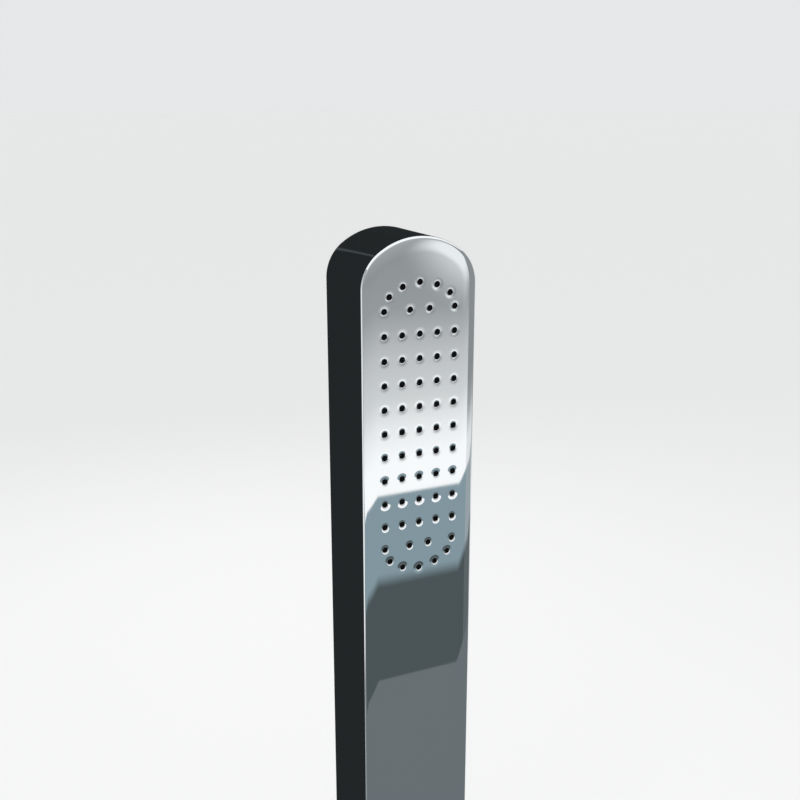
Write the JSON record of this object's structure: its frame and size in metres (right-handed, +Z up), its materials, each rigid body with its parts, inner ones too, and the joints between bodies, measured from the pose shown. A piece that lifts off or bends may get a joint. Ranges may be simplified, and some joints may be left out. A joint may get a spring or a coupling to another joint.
{
  "type": "wall-mounted rain shower column",
  "caption": "Slim arched steel wall column with a rain spray field, swivelling body jets, thermostatic mixer and outlet diverter.",
  "frame": {"origin": "centre of the lower wall bracket's back face, on the wall", "axes": "+Z up along the column, +Y out of the column's back into the wall, +X to the right as seen by the bather"},
  "size_m": [0.1036, 0.1129, 1.3663],
  "materials": {
    "mirror_steel": "mirror-polished stainless sheet",
    "satin_steel": "satin stainless",
    "chrome": "polished chrome plate",
    "brass": "machined, slightly tarnished",
    "copper": "drawn copper tube",
    "steel_braid": "stainless braid over a rubber hose",
    "black_silicone": "matt moulded silicone",
    "dark_plastic": "moulded, fine grain",
    "white_plastic": "moulded acetal",
    "red_plastic": "glossy moulded",
    "ceramic": "lapped ceramic"
  },
  "bodies": {
    "column": {"casing": "mirror_steel", "bottom_cap": "satin_steel", "cap_screw_left": "satin_steel", "cap_screw_right": "satin_steel", "upper_wall_bracket": "satin_steel", "upper_crossbar": "satin_steel", "lower_wall_bracket": "satin_steel", "lower_crossbar": "satin_steel", "nozzle_mat": "black_silicone", "rain_chamber": "dark_plastic", "chamber_stud_upper_left": "satin_steel", "chamber_stud_upper_right": "satin_steel", "chamber_stud_lower_left": "satin_steel", "chamber_stud_lower_right": "satin_steel", "chamber_nut_upper_left": "satin_steel", "chamber_nut_upper_right": "satin_steel", "chamber_nut_lower_left": "satin_steel", "chamber_nut_lower_right": "satin_steel", "rain_inlet_elbow": "brass", "jet_housing_1": "chrome", "jet_housing_2": "chrome", "jet_housing_3": "chrome", "jet_backnut_1": "white_plastic", "jet_backnut_2": "white_plastic", "jet_backnut_3": "white_plastic", "jet_manifold": "white_plastic", "mixer_body": "brass", "thermostat_cartridge": "white_plastic", "temperature_escutcheon": "chrome", "diverter_body": "brass", "diverter_cartridge": "white_plastic", "diverter_escutcheon": "chrome", "hot_supply_elbow": "brass", "cold_supply_elbow": "brass", "hot_union_nut": "brass", "cold_union_nut": "brass", "hot_check_valve": "white_plastic", "cold_check_valve": "white_plastic", "rain_hose": "steel_braid", "jet_hose": "steel_braid", "rain_hose_nut": "brass", "jet_hose_nut": "brass", "link_pipe": "copper", "outlet_pipe": "copper", "hose_outlet": "chrome", "outlet_backnut": "brass", "hose_clip_lower": "dark_plastic", "hose_clip_upper": "dark_plastic"},
    "temperature_control": {"temperature_knob": "chrome", "temperature_spindle": "brass"},
    "stop_button": {"stop_button": "red_plastic"},
    "diverter_control": {"diverter_knob": "chrome", "diverter_lever": "chrome", "diverter_spindle": "brass", "diverter_disc": "ceramic"},
    "jet_1": {"jet_nozzle_1": "chrome"},
    "jet_2": {"jet_nozzle_2": "chrome"},
    "jet_3": {"jet_nozzle_3": "chrome"}
  },
  "joints": [
    {"name": "temperature_turn", "type": "hinge", "parent": "column", "child": "temperature_control", "pos_m": [0, -0.0963, 0.26], "axis": [0, -1, 0], "range_deg": [-180, 70]},
    {"name": "stop_button_press", "type": "slide", "parent": "temperature_control", "child": "stop_button", "axis": [0, 0, -1], "range_m": [0, 0.0015], "stiffness_N_per_m": 700, "springref_m": -0.0015},
    {"name": "diverter_turn", "type": "hinge", "parent": "column", "child": "diverter_control", "pos_m": [0, -0.0938, 0.09], "axis": [0, -1, 0], "range_deg": [-90, 90]},
    {"name": "jet_tilt_1", "type": "hinge", "parent": "column", "child": "jet_1", "pos_m": [0, -0.069, 0.64], "axis": [1, 0, 0], "range_deg": [-17, 17]},
    {"name": "jet_tilt_2", "type": "hinge", "parent": "column", "child": "jet_2", "pos_m": [0, -0.069, 0.52], "axis": [1, 0, 0], "range_deg": [-17, 17]},
    {"name": "jet_tilt_3", "type": "hinge", "parent": "column", "child": "jet_3", "pos_m": [0, -0.069, 0.4], "axis": [1, 0, 0], "range_deg": [-17, 17]}
  ]
}
